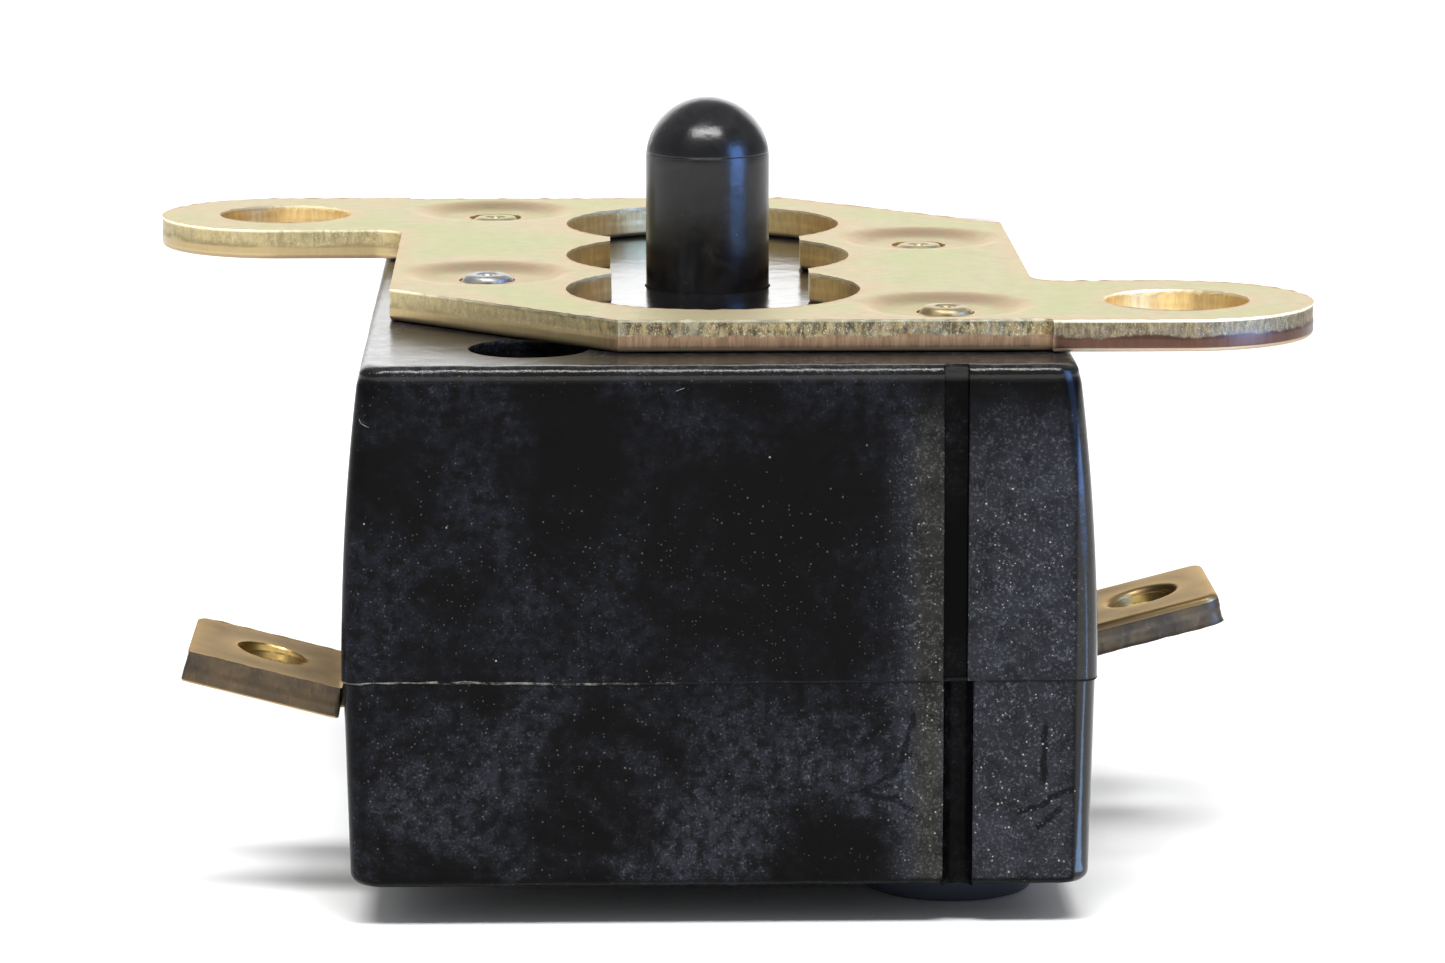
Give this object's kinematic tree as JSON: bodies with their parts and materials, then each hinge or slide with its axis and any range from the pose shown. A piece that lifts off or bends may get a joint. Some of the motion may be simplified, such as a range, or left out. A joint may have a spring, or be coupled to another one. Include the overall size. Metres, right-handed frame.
{
  "type": "plunger contact block",
  "caption": "Black moulded contact block with a domed plunger, tapped brass tabs and a passivated mounting plate with two diagonal ears.",
  "frame": {"origin": "on the plunger's axis, at the top face of the mounting plate, midway between the two ear holes", "axes": "+Z along the plunger, out of the plate; +X across the case towards the right terminal; +Y from the front face to the back"},
  "size_m": [0.0586, 0.0542, 0.0372],
  "materials": {
    "plated_steel": "yellow chromate over zinc, satin",
    "black_moulding": "worn gloss phenolic",
    "black_plunger": "polished phenolic",
    "brown_moulding": "filled phenolic",
    "aged_brass": "tarnished",
    "copper_alloy": "clean strip",
    "silver_contact": "polished",
    "spring_steel": "drawn wire",
    "zinc_steel": "zinc plated"
  },
  "bodies": {
    "case": {"mounting_plate": "plated_steel", "upper_housing": "black_moulding", "lower_housing": "black_moulding", "left_terminal": "aged_brass", "right_terminal": "aged_brass", "left_fixed_tip": "silver_contact", "right_fixed_tip": "silver_contact", "return_spring": "spring_steel", "return_spring_washer": "zinc_steel", "assembly_screws": "plated_steel", "lock_washers": "spring_steel", "flat_washers": "zinc_steel"},
    "plunger": {"plunger": "black_plunger", "contact_carrier": "brown_moulding", "return_spring_cup": "zinc_steel"},
    "bridge": {"contact_bridge": "copper_alloy", "left_bridge_tip": "silver_contact", "right_bridge_tip": "silver_contact", "contact_spring_cup": "zinc_steel", "contact_spring": "spring_steel"}
  },
  "joints": [
    {"name": "plunger_slide", "type": "slide", "parent": "case", "child": "plunger", "axis": [0, 0, -1], "range_m": [0, 0.0032], "stiffness_N_per_m": 1500, "springref_m": -0.004, "deforming": ["return_spring"]},
    {"name": "bridge_slide", "type": "slide", "parent": "case", "child": "bridge", "axis": [0, 0, -1], "range_m": [0, 0.0024], "deforming": ["contact_spring"]}
  ],
  "couplings": [
    {"joint": "bridge_slide", "follows": "plunger_slide", "ratio": 0.75}
  ]
}
